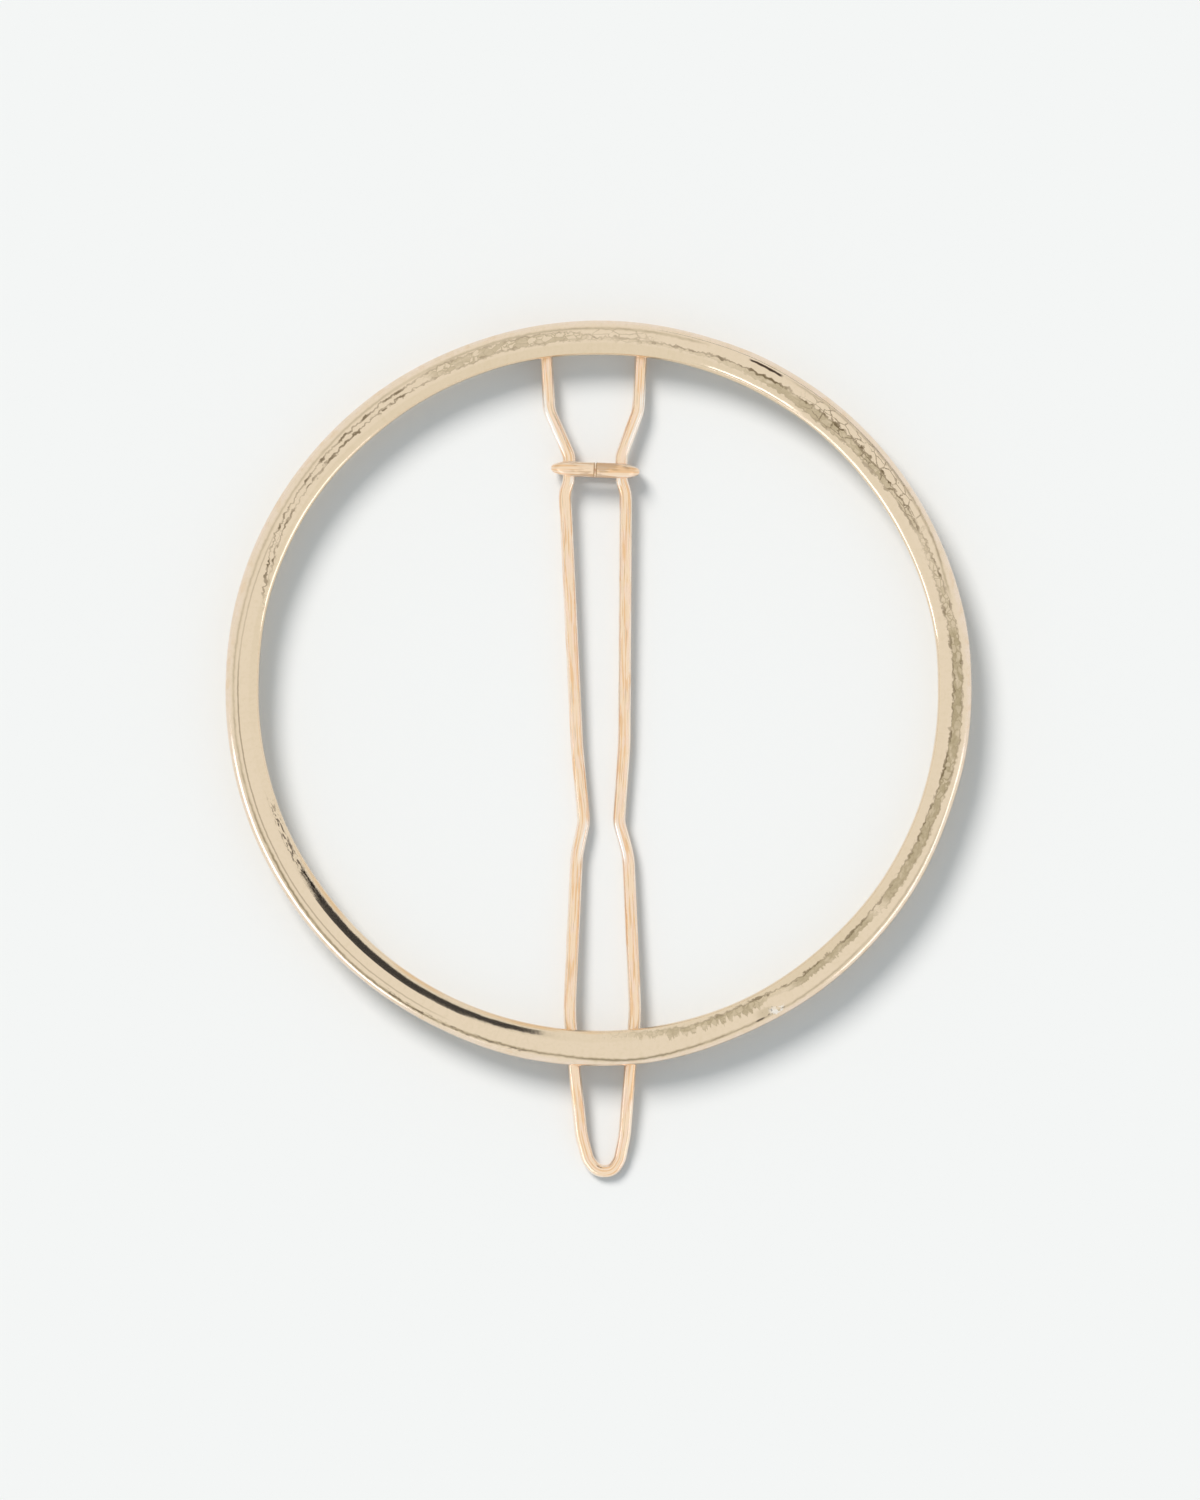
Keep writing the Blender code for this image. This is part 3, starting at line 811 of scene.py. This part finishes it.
link_corners = [(Vector((LINK_SEAM_GAP / 2, 0, turn_radius)), 0)]
for x, z in ((1, 1), (1, -1), (-1, -1), (-1, 1)):
    link_corners.append((Vector((x * (turn_middle + turn_radius), 0, z * turn_radius)), turn_radius))
link_corners.append((Vector((-LINK_SEAM_GAP / 2, 0, turn_radius)), 0))
link_frames = frames_along(rounded(link_corners), LINK_STATION, LINK_CHAMFER, Vector((0, 0, 1)))
link = draw_wire(link_frames, link_half_sizes, LINK_SIDES, LINK_CHAMFER)
askew = Matrix.Translation((neck_x, neck_y, neck_height)) @ Matrix.Rotation(LINK_TILT, 4, "Z")
bmesh.ops.transform(link, matrix=askew, verts=link.verts)
link_length = link_frames[-1][1]
link_plating = peach_plating("squeezed_peach_plating", link_length, LINK_RUBBED_RUN, LINK_ROUGHNESS)
add_piece("neck_link", link, link_plating, "tongue", "wire_plating", "neck_band")


# The clip lies on a plain pale sheet, cool white with a trace of green, matt, so that it takes the clip's
# soft shadow. Metal sees the same pale tone all round it.
SHEET_SIDE = 4.0
SHEET_COLOUR = (0.905, 0.922, 0.913)
FILL_LEVEL = 0.495
FILL_COLOUR = (0.949, 1.008, 1.055)


def stage_piece(name, shape, finish):
    """A sheet or card of the studio, which isn't part of the clip."""
    mesh = bpy.data.meshes.new(name)
    shape.to_mesh(mesh)
    shape.free()
    mesh.materials.append(finish.owner)
    piece = bpy.data.objects.new(name, mesh)
    scene.collection.objects.link(piece)
    return piece


paper = Finish(bpy.data.materials.new("pale_sheet"))
paper_sockets = {"Base Color": (*SHEET_COLOUR, 1), "Roughness": 1.0, "Specular IOR Level": 0.0}
paper_shader = paper.node("ShaderNodeBsdfPrincipled", {}, paper_sockets)
from_below = paper.node("ShaderNodeNewGeometry", {}, {}, output="Backfacing")
clear = paper.node("ShaderNodeBsdfTransparent", {}, {})
open_below = paper.node("ShaderNodeMixShader", {}, {0: from_below, 1: paper_shader, 2: clear})
paper.node("ShaderNodeOutputMaterial", {}, {"Surface": open_below})
sheet = bmesh.new()
bmesh.ops.create_grid(sheet, x_segments=1, y_segments=1, size=SHEET_SIDE / 2)
stage_piece("pale_sheet", sheet, paper)

scene.world = bpy.data.worlds.new("pale_studio")
studio = Finish(scene.world)


def light_path(what):
    """What kind of ray asks for the world's light."""
    return studio.node("ShaderNodeLightPath", {}, {}, output=what)


in_metal_or_glass = light_path("Is Glossy Ray") + light_path("Is Transmission Ray")
first_seen = 1 - light_path("Diffuse Depth").math("MINIMUM", 1.0)
seen = light_path("Is Camera Ray") + in_metal_or_glass * first_seen
fill = studio.node("ShaderNodeBackground", {}, {"Color": (*FILL_COLOUR, 1), "Strength": FILL_LEVEL})
backdrop = studio.node("ShaderNodeBackground", {}, {"Color": (*SHEET_COLOUR, 1), "Strength": 1.0})
surround = studio.node("ShaderNodeMixShader", {}, {0: seen, 1: fill, 2: backdrop})
studio.node("ShaderNodeOutputWorld", {}, {"Surface": surround})


# One broad soft light from the upper left throws the clip's shadow down to the right. Three panels on the
# near side give the wires, the ring's shoulder and its inner slope their white glints. A curved strip of
# black card at the far right gives the inner slope its one dark reflection.
KEY_LEVEL = 0.505
KEY_COLOUR = (1.050, 0.992, 0.950)
KEY_AZIMUTH = math.radians(126)
KEY_TILT = math.radians(43)
KEY_SPREAD = math.radians(24)
LAMP_DISTANCE = 0.40
PANELS = {
    "near_left_panel": {"azimuth": 213, "elevation": 13.0, "width": 0.36, "height": 0.054, "level": 1.9},
    "near_right_panel": {"azimuth": 331, "elevation": 12.0, "width": 0.29, "height": 0.034, "level": 1.3},
    "slope_panel": {"azimuth": 244, "elevation": 23, "width": 0.10, "height": 0.018, "level": 1.9},
}
PANEL_COLOUR = (0.93, 0.97, 1.20)
CARD_DISTANCE = 0.35
CARD_AZIMUTH = math.radians(55.5)
CARD_SPAN = math.radians(49)
CARD_FOOT = math.radians(25)
CARD_TOP = math.radians(42)
CARD_TOP_FALL = math.radians(10)
CARD_POINT_SHARE = 0.14
CARD_STEPS = 28
CARD_COLOUR = (0.052, 0.054, 0.061)


def facing_clip(azimuth, elevation, distance):
    """Where a lamp stands, turned so that its -Z looks at the middle of the clip."""
    level = Vector((math.cos(azimuth), math.sin(azimuth), 0)) * math.cos(elevation)
    outward = level + Vector((0, 0, math.sin(elevation)))
    turned = outward.to_track_quat("Z", "Y").to_matrix().to_4x4()
    return Matrix.Translation(ring_centre + outward * distance) @ turned


key = bpy.data.lights.new("key", "SUN")
key.energy = KEY_LEVEL * math.pi / math.cos(KEY_TILT)
key.color = KEY_COLOUR
key.angle = KEY_SPREAD
key_lamp = bpy.data.objects.new("key", key)
key_lamp.matrix_world = facing_clip(KEY_AZIMUTH, math.pi / 2 - KEY_TILT, LAMP_DISTANCE)
key_lamp.visible_glossy = False
scene.collection.objects.link(key_lamp)

for name, panel in PANELS.items():
    glow = bpy.data.lights.new(name, "AREA")
    glow.shape = "RECTANGLE"
    glow.size = panel["width"]
    glow.size_y = panel["height"]
    glow.color = PANEL_COLOUR
    glow.energy = panel["level"] * math.pi * panel["width"] * panel["height"]
    lamp = bpy.data.objects.new(name, glow)
    lamp_azimuth, lamp_elevation = math.radians(panel["azimuth"]), math.radians(panel["elevation"])
    lamp.matrix_world = facing_clip(lamp_azimuth, lamp_elevation, LAMP_DISTANCE)
    lamp.visible_diffuse = False
    scene.collection.objects.link(lamp)

black = Finish(bpy.data.materials.new("dark_card"))
black_shader = black.node("ShaderNodeEmission", {}, {"Color": (*CARD_COLOUR, 1), "Strength": 1.0})
black.node("ShaderNodeOutputMaterial", {}, {"Surface": black_shader})
card_shape = bmesh.new()
bmesh.ops.create_grid(card_shape, x_segments=CARD_STEPS, y_segments=1, size=0.5)
for vert in card_shape.verts:
    turn = CARD_AZIMUTH + vert.co.x * CARD_SPAN
    rise = (CARD_TOP - vert.co.x * CARD_TOP_FALL - CARD_FOOT) * min(1, (vert.co.x + 0.5) / CARD_POINT_SHARE)
    climb = CARD_FOOT + rise if vert.co.y > 0 else CARD_FOOT
    level = Vector((math.cos(turn), math.sin(turn), 0)) * math.cos(climb)
    vert.co = ring_centre + (level + Vector((0, 0, math.sin(climb)))) * CARD_DISTANCE
card = stage_piece("dark_card", card_shape, black)
card.visible_camera = False
card.visible_diffuse = False
card.visible_shadow = False
